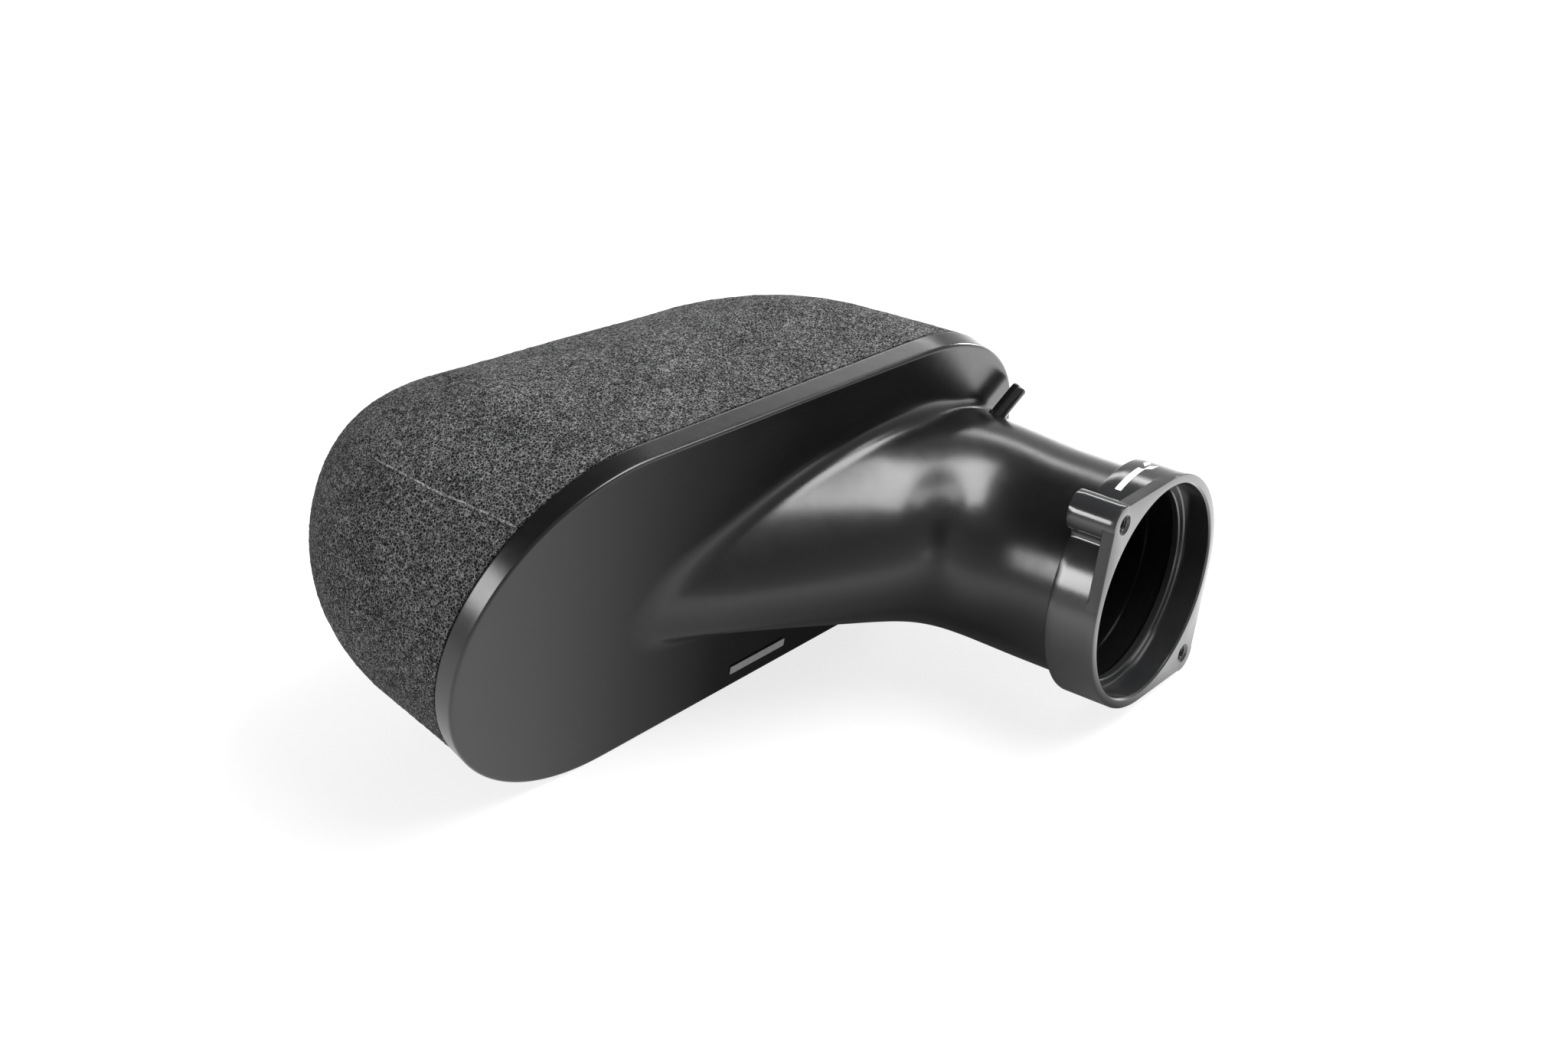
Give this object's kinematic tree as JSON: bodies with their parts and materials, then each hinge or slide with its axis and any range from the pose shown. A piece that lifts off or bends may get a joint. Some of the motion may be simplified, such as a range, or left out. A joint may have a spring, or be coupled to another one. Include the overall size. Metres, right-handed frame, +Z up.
{
  "type": "intake air filter with side-entry duct",
  "caption": "Foam air filter on a moulded side-entry intake duct, ending in a round two-bolt outlet flange with a small breather spigot.",
  "frame": {"origin": "middle of the footprint on the surface the part stands on", "axes": "+Z up, the outlet bore runs along Y and opens towards -Y, the filter's long side runs along X"},
  "size_m": [0.2688, 0.2482, 0.1451],
  "materials": {
    "duct_plastic": "satin moulded black",
    "anodised_flange": "black hard anodised aluminium, turned and milled",
    "bond": "cured adhesive",
    "nipple_plastic": "moulded black",
    "seal_rubber": "matt black rubber",
    "foam_outer": "open-cell foam, dark grey",
    "foam_middle": "medium-cell foam",
    "foam_inner": "fine-cell foam",
    "seam_bond": "thin glue line",
    "label_stock": "blank printed label stock",
    "bead_polyurethane": "cast polyurethane",
    "cage_steel": "bright zinc plated wire"
  },
  "bodies": {
    "root": {"duct_moulding": "duct_plastic", "outlet_flange": "anodised_flange", "flange_bond_ring": "bond", "breather_nipple": "nipple_plastic", "nipple_seal": "seal_rubber", "foam_outer": "foam_outer", "foam_middle": "foam_middle", "foam_inner": "foam_inner", "foam_seam_bond": "seam_bond", "rating_label": "label_stock", "base_bead": "bead_polyurethane", "cage_base_hoop": "cage_steel", "cage_mid_hoop": "cage_steel", "cage_top_hoop": "cage_steel", "cage_rib_1": "cage_steel", "cage_rib_2": "cage_steel", "cage_rib_3": "cage_steel", "cage_rib_4": "cage_steel", "cage_rib_5": "cage_steel", "cage_ridge_wire": "cage_steel"}
  },
  "joints": []
}
